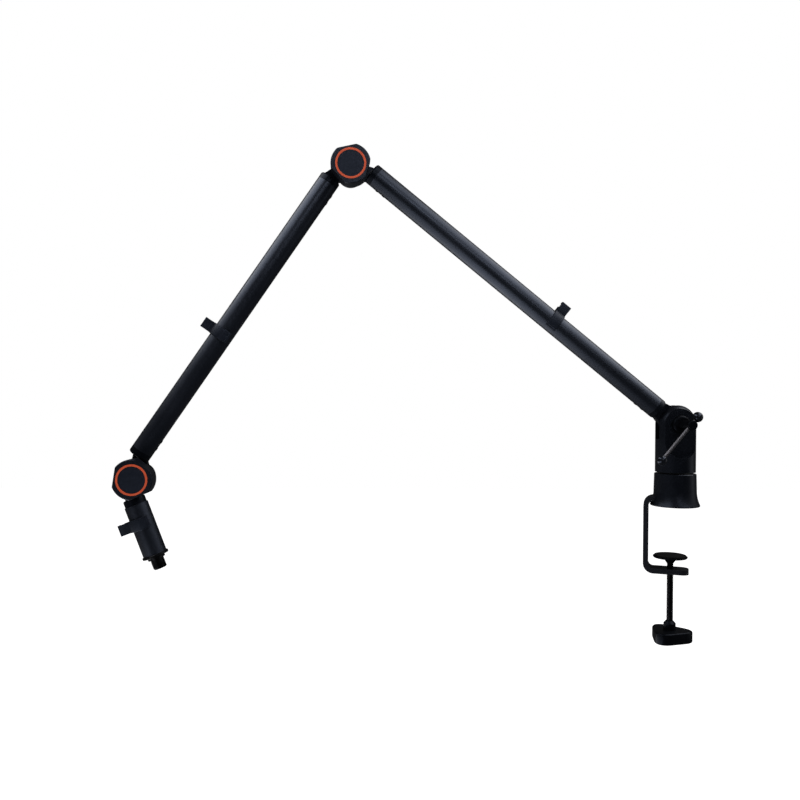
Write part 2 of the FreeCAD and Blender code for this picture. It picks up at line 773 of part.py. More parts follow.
def plug_screws(name, sets):
    """Screws for several lugs, each set a frame, an axis height and the places along the tube."""
    screws = []
    for placement, axis_height, places in sets:
        for along in places:
            screw = turned(f"{name}_{len(screws)}", [
                ("0", "-plug_screw_length"),
                ("plug_screw_shank", "-plug_screw_length"),
                ("plug_screw_shank", "0"),
                ("plug_screw_head", "0"),
                ("plug_screw_head", "plug_screw_seat + plug_screw_proud"),
                ("0", "plug_screw_seat + plug_screw_proud"),
            ])
            seat = Vector(size(along), 0, size(f"{axis_height} - {screw_seat_r}"))
            screw.Placement = placement.multiply(
                FreeCAD.Placement(seat, FreeCAD.Rotation(X_AXIS, 180)))
            screws.append(screw)
    group(name, screws)


def hinge_lug(name, placement, screw_places):
    body = lug(name, "lug_radius", "lug_neck", "lug_thickness", f"{lap} + lug_thickness / 2",
               "hinge_offset", "lug_step", "lug_seam", "bolt_radius")
    drill_for_screws(body, "hinge_offset", screw_places)
    place(body, placement)


first_screw = "lug_seam + plug_screw_inset"
second_screw = f"{first_screw} + plug_screw_pitch"
hinge_screws = [first_screw, second_screw]
shoulder_screws = ["shoulder_seam + plug_screw_inset", "shoulder_seam + plug_screw_inset + plug_screw_pitch"]

# Lower arm: tube, shoulder lug on the tube's own axis, rear half of the elbow's lap
place(tube("lower_tube", tube_r, "0", "shoulder_seam", "lower_length - lug_seam",
           shoulder_screws + [f"lower_length - ({along})" for along in hinge_screws]), lower_frame)
shoulder_lug = lug("shoulder_lug", "shoulder_lug_radius", "shoulder_lug_neck", "shoulder_lug_thickness", "0",
                   "0", "shoulder_step", "shoulder_seam", "t_bolt_radius")
drill_for_screws(shoulder_lug, "0", shoulder_screws)
place(shoulder_lug, lower_frame)
hinge_lug("lower_elbow_lug", lower_elbow_frame, hinge_screws)
plug_screws("lower_plug_screws", [(lower_frame, "0", shoulder_screws),
                                  (lower_elbow_frame, "hinge_offset", hinge_screws)])
washers = []
washer_near = "(shoulder_lug_thickness / 2 + face_gap)"
for side, direction in (("front", 1), ("rear", -1)):
    disc = washer(f"shoulder_washer_{side}", "t_bolt_radius + fit_gap", "shoulder_washer_radius",
                  washer_near, f"{washer_near} + shoulder_washer")
    disc.Placement = frame(shoulder, X_AXIS, FRONT * direction)
    washers.append(disc)
group("shoulder_friction_washers", washers)

# Upper arm: tube, front half of the elbow's lap, rear half of the wrist's
place(tube("upper_tube", tube_r, "hinge_offset", "lug_seam", "upper_length - lug_seam",
           hinge_screws + [f"upper_length - ({along})" for along in hinge_screws]), upper_frame)
hinge_lug("upper_elbow_lug", upper_frame, hinge_screws)
hinge_lug("upper_wrist_lug", upper_wrist_frame, hinge_screws)
plug_screws("upper_plug_screws", [(upper_frame, "hinge_offset", hinge_screws),
                                  (upper_wrist_frame, "hinge_offset", hinge_screws)])

# Mic end: front half of the wrist's lap, a short sleeve, and the stud that the microphone screws on
stud_screw = "sleeve_end - stud_screw_inset"
hinge_lug("mic_lug", mic_frame, [first_screw])
place(tube("mic_sleeve", sleeve_r, "hinge_offset", "lug_seam", "sleeve_end",
           [first_screw, stud_screw]), mic_frame)
stud = new_body("mic_thread_stud")
neck_low = "(sleeve_end + flange_height)"
thread_low = f"({neck_low} + stud_neck_height)"
stud_end = f"({thread_low} + mic_thread_length)"
revolve(stud, [
    ("0", "sleeve_end - stud_spigot"),
    (spigot_r, "sleeve_end - stud_spigot"),
    (spigot_r, "sleeve_end"),
    ("flange_radius", "sleeve_end"),
    ("flange_radius", neck_low),
    ("stud_neck_radius", neck_low),
    ("stud_neck_radius", thread_low),
    ("mic_thread_radius", thread_low),
    ("mic_thread_radius", f"{stud_end} - mic_thread_lead"),
    ("mic_thread_radius - mic_thread_lead", stud_end),
    ("0", stud_end),
])
for radius, depth in (("plug_screw_head", "plug_screw_seat"),
                      ("plug_screw_shank", "plug_screw_seat + plug_screw_length")):
    cut_circles(stud, "YZ_Plane", tube_r, [("0", stud_screw, f"{radius} + fit_gap")], depth)
place(stud, frame(mic_frame.multVec(Vector(0, 0, offset)), -mic_out, mic_way))
plug_screws("mic_plug_screws", [(mic_frame, "hinge_offset", [first_screw, stud_screw])])


# Hinge hardware: bolt, rear cap and washer on the rear lug, and the clamping knob in front

def hinge_hardware(joint, pivot, knob_turn):
    axis = frame(pivot, X_AXIS, FRONT)

    bolt = new_body(f"{joint}_bolt")
    head = new_sketch(bolt, "XY_Plane", f"-{lug_face} - bolt_head_height")
    draw_outline(head, hexagon("bolt_head_across"))
    pad(bolt, head, "bolt_head_height")
    pad_circles(bolt, "XY_Plane", f"-{lug_face} - bolt_head_height", [("0", "0", "bolt_radius")],
                f"{lug_face} + bolt_head_height + bolt_reach")
    place(bolt, axis)

    cap = new_body(f"{joint}_rear_cap")
    cap_end = f"(-{lug_face} - rear_cap_height)"
    revolve(cap, [
        ("0", cap_end),
        ("rear_cap_radius - rear_cap_round", cap_end, "rear_cap_round", "counter"),
        ("rear_cap_radius", f"{cap_end} + rear_cap_round"),
        ("rear_cap_radius", f"-{lug_face}"),
        ("0", f"-{lug_face}"),
    ])
    socket = new_sketch(cap, "XY_Plane", f"-{lug_face}")
    draw_outline(socket, hexagon("(bolt_head_across + 2 * fit_gap)"))
    cut(cap, socket, "bolt_head_height + fit_gap")
    place(cap, axis)

    place(washer(f"{joint}_friction_washer", "bolt_radius + fit_gap", "lap_washer_radius",
                 "-lap_washer / 2", "lap_washer / 2"), axis)

    # knob: a round grip with three flats, hubbed at the back, its face recessed for ring and cap
    knob_axis = turned_about_z(axis, knob_turn)
    knob = new_body(f"{joint}_knob")
    socket_r = "(insert_radius + fit_gap)"
    revolve(knob, [
        (socket_r, hub_face),
        ("knob_hub_radius", hub_face),
        ("knob_hub_radius", "knob_back"),
        ("knob_radius - knob_round", "knob_back", "knob_round", "counter"),
        ("knob_radius", "knob_back + knob_round"),
        ("knob_radius", "knob_face - knob_round", "knob_round", "counter"),
        ("knob_radius - knob_round", "knob_face"),
        ("ring_outer + fit_gap", "knob_face"),
        ("ring_outer + fit_gap", recess_floor),
        ("0", recess_floor),
        ("0", "insert_top"),
        (socket_r, "insert_top"),
    ])
    flat = new_sketch(knob, "XY_Plane", "(knob_back + knob_face) / 2")
    draw_outline(flat, [
        ("knob_flat", "-knob_radius"),
        ("knob_radius + knob_round", "-knob_radius"),
        ("knob_radius + knob_round", "knob_radius"),
        ("knob_flat", "knob_radius"),
    ])
    flat_cut = cut(knob, flat, "(knob_face - knob_back) / 2 + knob_round")
    around = knob.newObject("PartDesign::PolarPattern", f"{joint}_knob_flats")
    around.Originals = [flat_cut]
    around.Axis = (flat, ["N_Axis"])
    around.Angle = 360
    around.Occurrences = 3
    knob.Tip = around
    place(knob, knob_axis)

    place(washer(f"{joint}_knob_ring", "ring_inner", "ring_outer", recess_floor, "knob_face + ring_proud"),
          knob_axis)
    place(turned(f"{joint}_knob_cap", [
        ("0", recess_floor),
        ("ring_inner - fit_gap", recess_floor),
        ("ring_inner - fit_gap", "knob_face - cap_sink"),
        ("0", "knob_face - cap_sink"),
    ]), knob_axis)
    place(washer(f"{joint}_knob_insert", "bolt_radius + fit_gap", "insert_radius", hub_face, "insert_top"),
          knob_axis)
    place(washer(f"{joint}_knob_washer", "bolt_radius + fit_gap", "knob_washer_radius",
                 f"{lug_face} + face_gap", f"{lug_face} + face_gap + knob_washer"), knob_axis)


hinge_hardware("elbow", elbow, size("elbow_knob_turn"))
hinge_hardware("wrist", wrist, size("wrist_knob_turn"))


# Cable clips: a springy C round the tube with a smaller open loop for the cable on its outer side

def cable_clip(name, held_r, placement, along, axis_height):
    body = new_body(name)
    clip_inner = f"({held_r} + slide_gap)"
    clip_outer = f"({clip_inner} + clip_wall)"
    loop_centre = f"({held_r} + loop_reach)"
    band = new_sketch(body, "YZ_Plane", "0")
    draw_outline(band, [
        polar(clip_outer, "clip_front_angle") + (clip_outer, "counter"),
        polar(clip_outer, "clip_crown_angle") + (clip_outer, "counter"),
        polar(clip_outer, "clip_rear_angle"),
        polar(clip_inner, "clip_rear_angle") + (clip_inner, "clockwise"),
        polar(clip_inner, "clip_crown_angle") + (clip_inner, "clockwise"),
        polar(clip_inner, "clip_front_angle"),
    ])
    pad(body, band, "clip_width", both_ways=True)
    bead_line = f"({clip_inner} + clip_bead)"
    beads = new_sketch(body, "YZ_Plane", "0")
    draw_circles(beads, [polar(bead_line, angle) + ("clip_bead",)
                         for angle in ("clip_front_angle", "clip_rear_angle")])
    pad(body, beads, "clip_width", both_ways=True)
    loop = new_sketch(body, "YZ_Plane", "0")
    loop_outer = "(loop_radius + loop_wall)"
    mouth_left = "90 + loop_mouth / 2"
    mouth_right = "450 - loop_mouth / 2"
    draw_outline(loop, [
        polar(loop_outer, mouth_left, loop_centre) + (loop_outer, "counter"),
        polar(loop_outer, "270", loop_centre) + (loop_outer, "counter"),
        polar(loop_outer, mouth_right, loop_centre),
        polar("loop_radius", mouth_right, loop_centre) + ("loop_radius", "clockwise"),
        polar("loop_radius", "270", loop_centre) + ("loop_radius", "clockwise"),
        polar("loop_radius", mouth_left, loop_centre),
    ])
    pad(body, loop, "loop_width", both_ways=True)
    place(body, moved(placement, x=along, z=axis_height))


cable_clip("lower_cable_clip", tube_r, lower_frame, size("lower_length - lower_clip_place"), 0)
cable_clip("upper_cable_clip", tube_r, upper_frame, size("upper_clip_place"), offset)
cable_clip("mic_cable_clip", sleeve_r, mic_frame, size("mic_clip_place"), offset)

# Check every object before anything is written
doc.recompute()
for item in doc.Objects:
    if "Invalid" in item.State or "Error" in item.State:
        raise RuntimeError(f"{item.Name} failed: {item.State}")
for piece in pieces:
    if piece.Shape.isNull() or not piece.Shape.isValid() or not piece.Shape.Solids:
        raise RuntimeError(f"{piece.Label} has no valid solid")

os.makedirs("parts", exist_ok=True)
for piece in pieces:
    piece.Shape.exportStep(f"parts/{piece.Label}.step")
print(len(pieces), "pieces written")
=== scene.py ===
import json
import math

import bmesh
import bpy
from mathutils import Matrix, Vector


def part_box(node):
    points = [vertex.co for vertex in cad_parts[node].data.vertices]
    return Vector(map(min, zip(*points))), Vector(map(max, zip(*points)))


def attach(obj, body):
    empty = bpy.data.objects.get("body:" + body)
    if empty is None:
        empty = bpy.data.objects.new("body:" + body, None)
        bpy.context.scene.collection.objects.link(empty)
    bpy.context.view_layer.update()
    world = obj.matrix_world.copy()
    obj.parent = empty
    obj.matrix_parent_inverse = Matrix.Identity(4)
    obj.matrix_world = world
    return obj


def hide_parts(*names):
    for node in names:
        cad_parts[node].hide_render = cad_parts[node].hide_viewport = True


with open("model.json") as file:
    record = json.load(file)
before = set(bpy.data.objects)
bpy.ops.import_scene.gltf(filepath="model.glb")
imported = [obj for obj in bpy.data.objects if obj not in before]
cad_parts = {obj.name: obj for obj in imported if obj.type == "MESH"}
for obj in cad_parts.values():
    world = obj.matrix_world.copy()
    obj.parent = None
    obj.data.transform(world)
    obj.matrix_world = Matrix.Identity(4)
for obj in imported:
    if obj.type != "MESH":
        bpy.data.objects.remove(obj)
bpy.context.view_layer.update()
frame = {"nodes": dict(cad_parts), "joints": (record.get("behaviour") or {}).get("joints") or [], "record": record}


# Clamp bracket: one length of flat steel bar, bent twice into a C, its lower leg rounded at the tip and
# tapped for the screw. Satin black powder coat, a little thinner where it wraps the edges and painted paler there,
# partly as wear and partly as a painted edge highlight.

def effect_group(name, inputs, outputs):
    """An empty shader group with float or vector inputs, given with their defaults, and float outputs."""
    group = bpy.data.node_groups.new(name, "ShaderNodeTree")
    for label, value in inputs.items():
        kind = "NodeSocketVector" if value is None else "NodeSocketFloat"
        socket = group.interface.new_socket(label, in_out="INPUT", socket_type=kind)
        if value is not None:
            socket.default_value = value
    for label in outputs:
        group.interface.new_socket(label, in_out="OUTPUT", socket_type="NodeSocketFloat")
    return group, group.nodes.new("NodeGroupInput"), group.nodes.new("NodeGroupOutput")


def noise_in(tree, vector, scale, detail, roughness=0.5):
    """A noise texture; its scale is in cells per metre, because the object is in metres."""
    noise = tree.nodes.new("ShaderNodeTexNoise")
    noise.inputs["Scale"].default_value = scale
    noise.inputs["Detail"].default_value = detail
    noise.inputs["Roughness"].default_value = roughness
    tree.links.new(vector, noise.inputs["Vector"])
    return noise


def spread(tree, source, low, high, to_low=0.0, to_high=1.0):
    """Stretches a value's range from low to high over another range, and holds it at the ends."""
    stretch = tree.nodes.new("ShaderNodeMapRange")
    for label, value in (("From Min", low), ("From Max", high), ("To Min", to_low), ("To Max", to_high)):
        stretch.inputs[label].default_value = value
    tree.links.new(source, stretch.inputs["Value"])
    return stretch.outputs["Result"]


FINE_CELLS = 1500.0
MOTTLE_CELLS = 240.0
HANDLING_CELLS = 28.0
grain, grain_in, grain_out = effect_group(
    "surface_grain", {"Vector": None, "Cells": FINE_CELLS}, ["Height", "Mottle", "Handling"])
fine = noise_in(grain, grain_in.outputs["Vector"], FINE_CELLS, detail=2.0)
grain.links.new(grain_in.outputs["Cells"], fine.inputs["Scale"])
grain.links.new(spread(grain, fine.outputs["Fac"], low=0.3, high=0.7), grain_out.inputs["Height"])
mottle = noise_in(grain, grain_in.outputs["Vector"], MOTTLE_CELLS, detail=3.0)
grain.links.new(spread(grain, mottle.outputs["Fac"], low=0.32, high=0.68), grain_out.inputs["Mottle"])
handling = noise_in(grain, grain_in.outputs["Vector"], HANDLING_CELLS, detail=4.0, roughness=0.6)
grain.links.new(spread(grain, handling.outputs["Fac"], low=0.35, high=0.65), grain_out.inputs["Handling"])

# Edge colour: edges painted paler in patches, where the bevelled normal turns away from the true one. This is
# partly wear and partly a painted highlight along the edges.
EDGE_REACH = 0.0007
EDGE_SAMPLES = 6
WEAR_AND_HIGHLIGHT_CELLS = 420.0
wear_and_highlight, wear_and_highlight_in, wear_and_highlight_out = effect_group("edge_wear_and_highlight", {"Vector": None}, ["Edge"])
bent_normal = wear_and_highlight.nodes.new("ShaderNodeBevel")
bent_normal.samples = EDGE_SAMPLES
bent_normal.inputs["Radius"].default_value = EDGE_REACH
true_normal = wear_and_highlight.nodes.new("ShaderNodeNewGeometry")
likeness = wear_and_highlight.nodes.new("ShaderNodeVectorMath")
likeness.operation = "DOT_PRODUCT"
wear_and_highlight.links.new(bent_normal.outputs["Normal"], likeness.inputs[0])
wear_and_highlight.links.new(true_normal.outputs["Normal"], likeness.inputs[1])
turned_away = spread(wear_and_highlight, likeness.outputs["Value"], low=0.995, high=0.8)
patches = noise_in(wear_and_highlight, wear_and_highlight_in.outputs["Vector"], WEAR_AND_HIGHLIGHT_CELLS, detail=3.0)
patchy = wear_and_highlight.nodes.new("ShaderNodeMath")
patchy.operation = "MULTIPLY"
wear_and_highlight.links.new(turned_away, patchy.inputs[0])
wear_and_highlight.links.new(spread(wear_and_highlight, patches.outputs["Fac"], low=0.3, high=0.6, to_low=0.35), patchy.inputs[1])
wear_and_highlight.links.new(patchy.outputs["Value"], wear_and_highlight_out.inputs["Edge"])


def finish(name, **constants):
    """A material with its shader; the values that are the same all over are set on the shader itself."""
    material = bpy.data.materials.new(name)
    material.use_nodes = True
    shader = material.node_tree.nodes["Principled BSDF"]
    for label, value in constants.items():
        shader.inputs[label.replace("_", " ")].default_value = value
    coordinates = material.node_tree.nodes.new("ShaderNodeTexCoord")
    return material, shader, coordinates.outputs["Object"]


def placed(tree, group, vector, **values):
    """One use of an effect group in a material."""
    node = tree.nodes.new("ShaderNodeGroup")
    node.node_tree = group
    tree.links.new(vector, node.inputs["Vector"])
    for label, value in values.items():
        node.inputs[label].default_value = value
    return node.outputs


def between(tree, mask, first, second):
    """A colour between two, by a mask; each colour is a triple or another node's output."""
    mix = tree.nodes.new("ShaderNodeMix")
    mix.data_type = "RGBA"
    tree.links.new(mask, mix.inputs["Factor"])
    for label, colour in (("A", first), ("B", second)):
        socket = next(item for item in mix.inputs if item.name == label and item.type == "RGBA")
        if isinstance(colour, bpy.types.NodeSocket):
            tree.links.new(colour, socket)
        else:
            socket.default_value = (*colour, 1.0)
    return next(item for item in mix.outputs if item.type == "RGBA")


def raised(tree, shader, height, depth):
    """Bump on the shader from a height of 0 to 1, as deep as given in metres."""
    bump = tree.nodes.new("ShaderNodeBump")
    bump.inputs["Strength"].default_value = 1.0
    bump.inputs["Distance"].default_value = depth
    tree.links.new(height, bump.inputs["Height"])
    tree.links.new(bump.outputs["Normal"], shader.inputs["Normal"])


def grained(name, deep, pale, smooth, rough, cells, depth, edge=None, **constants):
    """A coated or moulded surface: mottled between two colours, grained, handled, and painted paler on its edges,
    partly as wear and partly as a painted edge highlight.
    """
    material, shader, vector = finish(name, **constants)
    tree = material.node_tree
    marks = placed(tree, grain, vector, Cells=cells)
    colour = between(tree, marks["Mottle"], deep, pale)
    # The edge colour is worn coating and a painted edge highlight at once.
    if edge:
        colour = between(tree, placed(tree, wear_and_highlight, vector)["Edge"], colour, edge)
    tree.links.new(colour, shader.inputs["Base Color"])
    tree.links.new(spread(tree, marks["Handling"], 0.0, 1.0, smooth, rough), shader.inputs["Roughness"])
    raised(tree, shader, marks["Height"], depth)
    return material


def dress(material, *names):
    """Gives CAD nodes their finish."""
    for name in names:
        node = frame["nodes"][name]
        node.data.materials.clear()
        node.data.materials.append(material)


COOL = (0.64, 0.74, 1.0, 1.0)
strip_coat = grained(
    "strip_powder_coat", deep=(0.0035, 0.0036, 0.0045), pale=(0.0055, 0.0057, 0.007), smooth=0.42, rough=0.52,
    cells=1700.0, depth=0.00004, edge=(0.016, 0.0165, 0.019), Specular_IOR_Level=0.16, Specular_Tint=COOL)
dress(strip_coat, "clamp_bracket")


# Pedestal: a cast bell that stands on the desk over the bracket's upper leg, with a rubber disc let into its
# foot, a plated steel spindle bolted up through the leg, and a nylon thrust washer for the post to turn on.

casting_coat = grained(
    "casting_powder_coat", deep=(0.0011, 0.0014, 0.0023), pale=(0.0019, 0.0023, 0.0036),
    smooth=0.32, rough=0.4, cells=1300.0, depth=0.00002, edge=(0.006, 0.0068, 0.009),
    Specular_IOR_Level=0.19, Specular_Tint=COOL)
dress(casting_coat, "pedestal_bell")

pad_rubber = grained(
    "pad_rubber", deep=(0.002, 0.002, 0.0022), pale=(0.0035, 0.0035, 0.0038), smooth=0.5, rough=0.62,
    cells=2600.0, depth=0.00006, Specular_IOR_Level=0.08)
dress(pad_rubber, "desk_pad")

bearing_nylon = grained(
    "bearing_nylon", deep=(0.012, 0.012, 0.013), pale=(0.02, 0.02, 0.021), smooth=0.42, rough=0.55,
    cells=1800.0, depth=0.00002)
dress(bearing_nylon, "thrust_washer")

LINES_ALONG = 90.0
LINES_ACROSS = 6000.0
PATCH_CELLS = 22.0
lathe, lathe_in, lathe_out = effect_group(
    "tool_lines", {"Vector": None, "Along": LINES_ALONG, "Across": LINES_ACROSS}, ["Lines", "Patch"])
line_scale = lathe.nodes.new("ShaderNodeCombineXYZ")
lathe.links.new(lathe_in.outputs["Along"], line_scale.inputs["X"])
lathe.links.new(lathe_in.outputs["Across"], line_scale.inputs["Y"])
lathe.links.new(lathe_in.outputs["Across"], line_scale.inputs["Z"])
drawn = lathe.nodes.new("ShaderNodeVectorMath")
drawn.operation = "MULTIPLY"
lathe.links.new(lathe_in.outputs["Vector"], drawn.inputs[0])
lathe.links.new(line_scale.outputs["Vector"], drawn.inputs[1])
lines = noise_in(lathe, drawn.outputs["Vector"], scale=1.0, detail=2.0)
lathe.links.new(spread(lathe, lines.outputs["Fac"], low=0.3, high=0.7), lathe_out.inputs["Lines"])
patch = noise_in(lathe, lathe_in.outputs["Vector"], PATCH_CELLS, detail=4.0, roughness=0.6)
lathe.links.new(spread(lathe, patch.outputs["Fac"], low=0.35, high=0.65), lathe_out.inputs["Patch"])


def lined(name, deep, pale, smooth, rough, turn, along, across, depth, **constants):
    """A drawn or turned metal surface, with fine lines along its own X after the turn given in degrees."""
    material, shader, vector = finish(name, **constants)
    tree = material.node_tree
    turned = tree.nodes.new("ShaderNodeMapping")
    turned.vector_type = "TEXTURE"
    turned.inputs["Rotation"].default_value = [math.radians(angle) for angle in turn]
    tree.links.new(vector, turned.inputs["Vector"])
    marks = placed(tree, lathe, turned.outputs["Vector"], Along=along, Across=across)
    tree.links.new(between(tree, marks["Lines"], deep, pale), shader.inputs["Base Color"])
    tree.links.new(spread(tree, marks["Patch"], 0.0, 1.0, smooth, rough), shader.inputs["Roughness"])
    raised(tree, shader, marks["Lines"], depth)
    return material


plated_steel = lined(
    "plated_steel", deep=(0.42, 0.42, 0.43), pale=(0.6, 0.6, 0.61), smooth=0.22, rough=0.34,
    turn=(0, 90, 0), along=5000.0, across=60.0, depth=0.000008, Metallic=1.0)
dress(plated_steel, "swivel_spindle", "spindle_bolt")


# Swivel post: a casting turned to the bell's width, with a ball top, a slot for the lug and two flats milled
# as pockets, open at the sides and round at the foot. It turns on the spindle by a bronze bush, a grub screw
# keeps it there, and a nut for the T-handle's bolt is let into the rear flat.

bush_bronze = lined(
    "bush_bronze", deep=(0.33, 0.2, 0.09), pale=(0.46, 0.3, 0.14), smooth=0.35, rough=0.5,
    turn=(0, 90, 0), along=4000.0, across=80.0, depth=0.00001, Metallic=1.0)
dress(bush_bronze, "spindle_bush")
black_steel = lined(
    "blackened_steel", deep=(0.01, 0.0102, 0.0115), pale=(0.02, 0.0203, 0.0225), smooth=0.3, rough=0.42,
    turn=(0, 90, 0), along=3000.0, across=60.0, depth=0.000008, Metallic=1.0)
dress(black_steel, "spindle_retaining_screw", "shoulder_nut")

CRISP = math.radians(28)
SAME_POINT = 0.000002
ON_PLANE = 0.00002


def finished(name, shape, material, slot, body, *nodes):
    """Makes a shape a piece that rides on its body for the nodes it replaces, with its crisp edges kept."""
    bmesh.ops.recalc_face_normals(shape, faces=shape.faces[:])
    for face in shape.faces:
        face.smooth = True
    for edge in shape.edges:
        edge.smooth = edge.calc_face_angle(0.0) < CRISP
    mesh = bpy.data.meshes.new(name)
    shape.to_mesh(mesh)
    shape.free()
    mesh.materials.append(material)
    piece = bpy.data.objects.new(name, mesh)
    bpy.context.scene.collection.objects.link(piece)
    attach(piece, body)
    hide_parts(*nodes)


def copied(node):
    """A node's own mesh to work on, its loose triangles merged."""
    shape = bmesh.new()
    shape.from_mesh(frame["nodes"][node].data)
    bmesh.ops.remove_doubles(shape, verts=shape.verts[:], dist=SAME_POINT)
    return shape


def open_edges(shape):
    """The edges that have a face on one side only."""
    return [edge for edge in shape.edges if edge.is_boundary]


POST_FLAT = 0.0144
MILLED_FOOT = 0.0662
MILLED_SLOPE = 0.5
POCKET_FOOT = 0.0589
column = copied("swivel_post")
for side in (-1, 1):
    runout = [face for face in column.faces if all(
        abs(MILLED_FOOT - (side * corner.co.y - POST_FLAT) * MILLED_SLOPE - corner.co.z) < ON_PLANE
        for corner in face.verts)]
    chord_ends = {corner for face in runout for corner in face.verts
                  if abs(side * corner.co.y - POST_FLAT) < SAME_POINT}
    foot_edges = {edge for face in runout for edge in face.edges}
    chord = [edge for edge in foot_edges if set(edge.verts) <= chord_ends]
    bmesh.ops.delete(column, geom=runout, context="FACES_ONLY")
    bmesh.ops.delete(column, geom=[edge for edge in foot_edges if edge.is_wire], context="EDGES")
    bow = [edge for edge in foot_edges if edge.is_valid and edge not in chord]
    half_chord = max(corner.co.x for corner in chord_ends)
    for corner in {corner for edge in bow for corner in edge.verts}:
        corner.co.z = POCKET_FOOT + half_chord - math.sqrt(max(half_chord ** 2 - corner.co.x ** 2, 0.0))
    wall = bmesh.ops.extrude_edge_only(column, edges=bow)["geom"]
    for corner in wall:
        if isinstance(corner, bmesh.types.BMVert):
            corner.co.y = side * POST_FLAT
    bmesh.ops.remove_doubles(column, verts=column.verts[:], dist=SAME_POINT)
    bmesh.ops.contextual_create(column, geom=open_edges(column))
finished("swivel_post_casting", column, casting_coat, "black_casting", "post", "swivel_post")


# Clamp screw: a length of black steel rod, threaded up to the pin that swivels in the pressure pad. The pad
# is black steel with a rubber facing, and a three-lobed knob is moulded on to the rod's foot.

oxide_steel = grained(
    "oxide_steel", deep=(0.0007, 0.0008, 0.0012), pale=(0.0013, 0.0015, 0.0021), smooth=0.4, rough=0.52,
    cells=2400.0, depth=0.00002, edge=(0.0025, 0.0028, 0.0036), Specular_IOR_Level=0.05, Specular_Tint=COOL)
dress(oxide_steel, "pressure_pad")
dress(pad_rubber, "pad_facing")


def carry_on(shape, rim, outline):
    """Extrudes an open rim about Z through rings of (radius, height, sides) and closes the last one."""
    for radius, height, sides in outline:
        grown = bmesh.ops.extrude_edge_only(shape, edges=rim)["geom"]
        rim = [item for item in grown if isinstance(item, bmesh.types.BMEdge)]
        for corner in {corner for edge in rim for corner in edge.verts}:
            turn = math.atan2(corner.co.y, corner.co.x)
            reach = radius
            if sides:
                wedge = math.pi / sides
                reach = radius / math.cos((turn + wedge) % (2 * wedge) - wedge)
            corner.co = (reach * math.cos(turn), reach * math.sin(turn), height)
    bmesh.ops.contextual_create(shape, geom=rim)


def add_shape(shape, other):
    """Puts a second closed shape into the first."""
    carried = bpy.data.meshes.new("carried_shape")
    other.to_mesh(carried)
    other.free()
    shape.from_mesh(carried)
    bpy.data.meshes.remove(carried)


ROUND = 0
THREAD_STEPS = 28
ROOT_END = 0.22
CREST_START = 0.53
CREST_END = 0.69


def thread(shape, crest, depth, pitch, low, high):
    """A screw thread about Z, one tooth spun into a helix and cut square; returns its two open rims."""
    turns = math.ceil((high - low) / pitch) + 2
    weld = pitch / 500
    root = crest - depth
    tooth = [(root, 0.0), (root, ROOT_END), (crest, CREST_START), (crest, CREST_END), (root, 1.0)]
    corners = [shape.verts.new((radius, 0.0, low + (part - 1.0) * pitch)) for radius, part in tooth]
    edges = [shape.edges.new(pair) for pair in zip(corners, corners[1:])]
    bmesh.ops.spin(shape, geom=corners + edges, axis=(0.0, 0.0, 1.0), dvec=(0.0, 0.0, pitch / THREAD_STEPS),
                   angle=2 * math.pi * turns, steps=THREAD_STEPS * turns)
    bmesh.ops.remove_doubles(shape, verts=shape.verts[:], dist=weld)
    for height, way in ((low, -1.0), (high, 1.0)):
        bmesh.ops.bisect_plane(shape, geom=shape.verts[:] + shape.edges[:] + shape.faces[:], dist=weld / 2,
                               plane_co=(0.0, 0.0, height), plane_no=(0.0, 0.0, way), clear_outer=True)
    middle = (low + high) / 2
    return ([edge for edge in open_edges(shape) if edge.verts[0].co.z < middle],
            [edge for edge in open_edges(shape) if edge.verts[0].co.z > middle])


SCREW_PITCH = 0.00125
SCREW_DEPTH = 0.00072
PIN_RADIUS = 0.003
PIN_LENGTH = 0.00605
END_BEVEL = 0.0005
screw_low, screw_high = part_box("clamp_screw")
screw_axis = (screw_low + screw_high) / 2
screw_radius = (screw_high.x - screw_low.x) / 2
shoulder = screw_high.z - PIN_LENGTH
rod = bmesh.new()
foot_rim, head_rim = thread(rod, screw_radius, SCREW_DEPTH, SCREW_PITCH, screw_low.z + END_BEVEL, shoulder)
carry_on(rod, foot_rim, [(screw_radius - SCREW_DEPTH - END_BEVEL, screw_low.z, ROUND)])
carry_on(rod, head_rim, [
    (PIN_RADIUS, shoulder, ROUND), (PIN_RADIUS, screw_high.z - END_BEVEL, ROUND),
    (PIN_RADIUS - END_BEVEL, screw_high.z, ROUND)])
bmesh.ops.translate(rod, verts=rod.verts[:], vec=(screw_axis.x, screw_axis.y, 0.0))
finished("threaded_clamp_screw", rod, black_steel, "black_steel", "screw", "clamp_screw")

grip_plastic = grained(
    "grip_plastic", deep=(0.0007, 0.0009, 0.0014), pale=(0.0012, 0.0015, 0.0022), smooth=0.34, rough=0.44,
    cells=2200.0, depth=0.00002, edge=(0.003, 0.0034, 0.0045), Specular_IOR_Level=0.08, Specular_Tint=COOL)

LOBES = 3
LOBE_REACH = 0.02515
LOBE_RADIUS = 0.01355
LOBE_TURN = math.radians(-16)
LOBE_STEPS = 12
GRIP_HEIGHT = 0.014
GRIP_ROUND = 0.002
GRIP_STEPS = 4
HUB_RADIUS = 0.0072
HUB_TIP = 0.0046
HUB_SLOPE = 0.003
HUB_SIDES = 40


def thickened(shape, step):
    """Extrudes a flat shape into a solid one, by the step given."""
    risen = bmesh.ops.extrude_face_region(shape, geom=shape.faces[:])["geom"]
    moved = [item for item in risen if isinstance(item, bmesh.types.BMVert)]
    bmesh.ops.translate(shape, verts=moved, vec=step)


def drop(edge):
    """The difference in height between an edge's two ends."""
    return abs(edge.verts[0].co.z - edge.verts[1].co.z)


